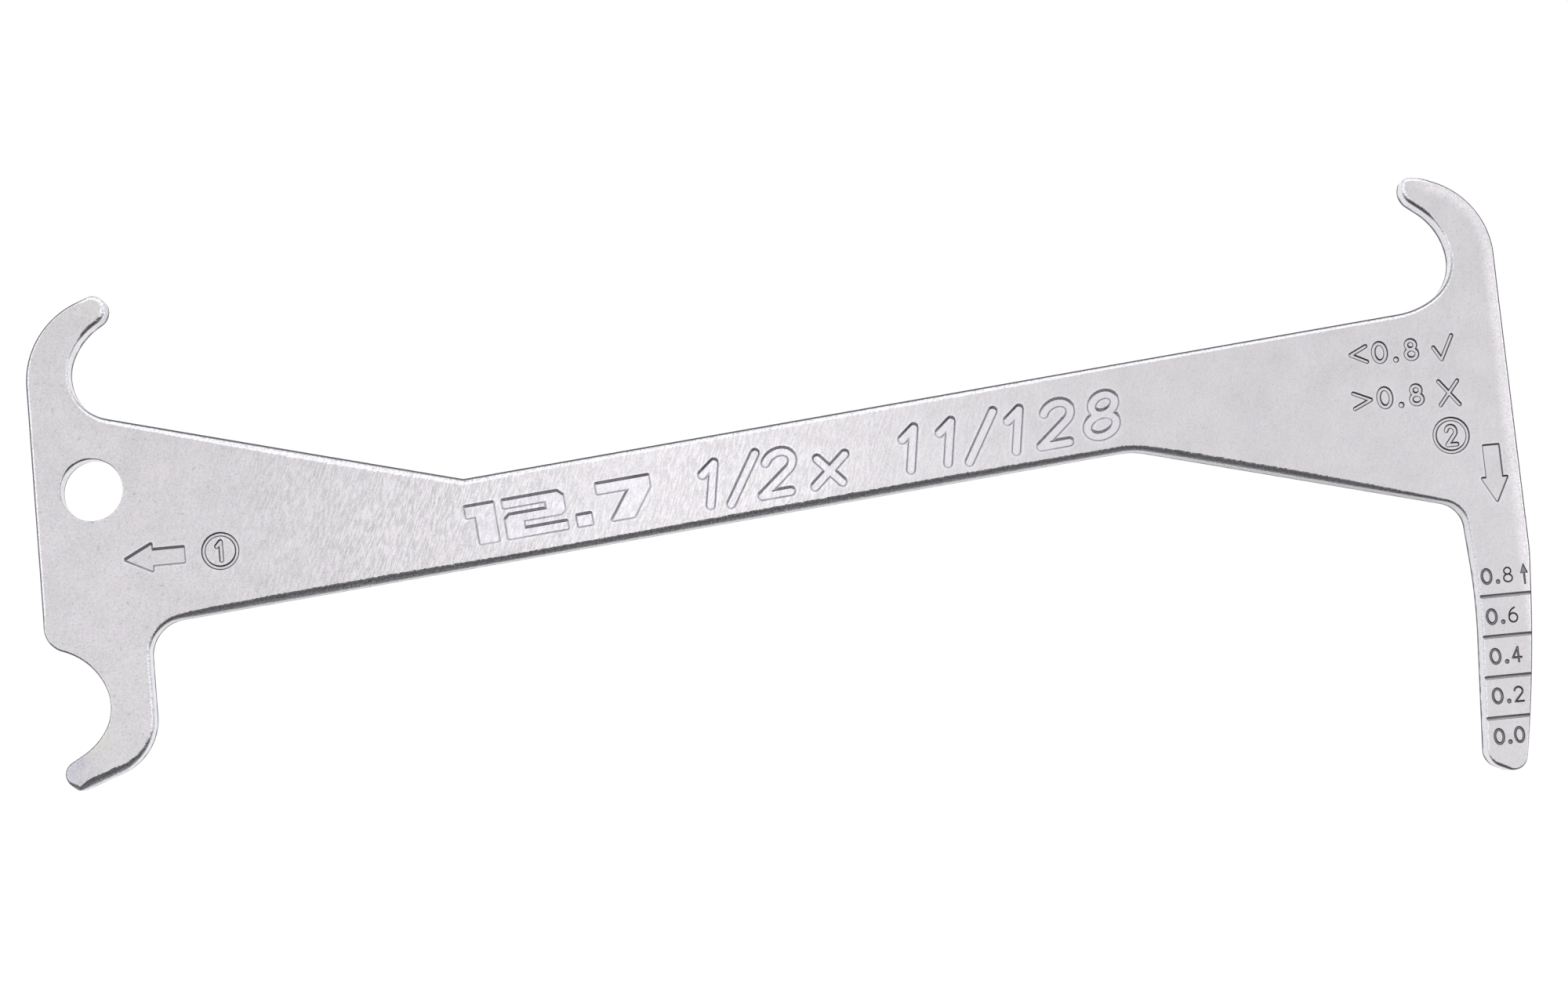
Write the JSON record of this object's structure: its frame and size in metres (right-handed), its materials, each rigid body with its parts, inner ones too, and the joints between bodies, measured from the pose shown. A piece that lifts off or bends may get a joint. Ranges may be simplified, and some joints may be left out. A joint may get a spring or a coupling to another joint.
{
  "type": "chain wear gauge",
  "caption": "Flat stamped steel gauge for bicycle chain wear, with a lower hook for the first roller, a curved measuring probe, chain-holding hooks and a hang hole.",
  "frame": {"origin": "axis of the hang hole at the plate's back face", "axes": "+X along the chain from the hooked end to the probe end, +Y towards the tool's top edge with its two chain-holding hooks, +Z out of the marked front face"},
  "size_m": [0.1257, 0.0516, 0.002],
  "materials": {
    "plated_steel": "satin nickel plate over stamped steel sheet, finely scratched, with coined marks"
  },
  "bodies": {
    "root": {"gauge_plate": "plated_steel"}
  },
  "joints": []
}
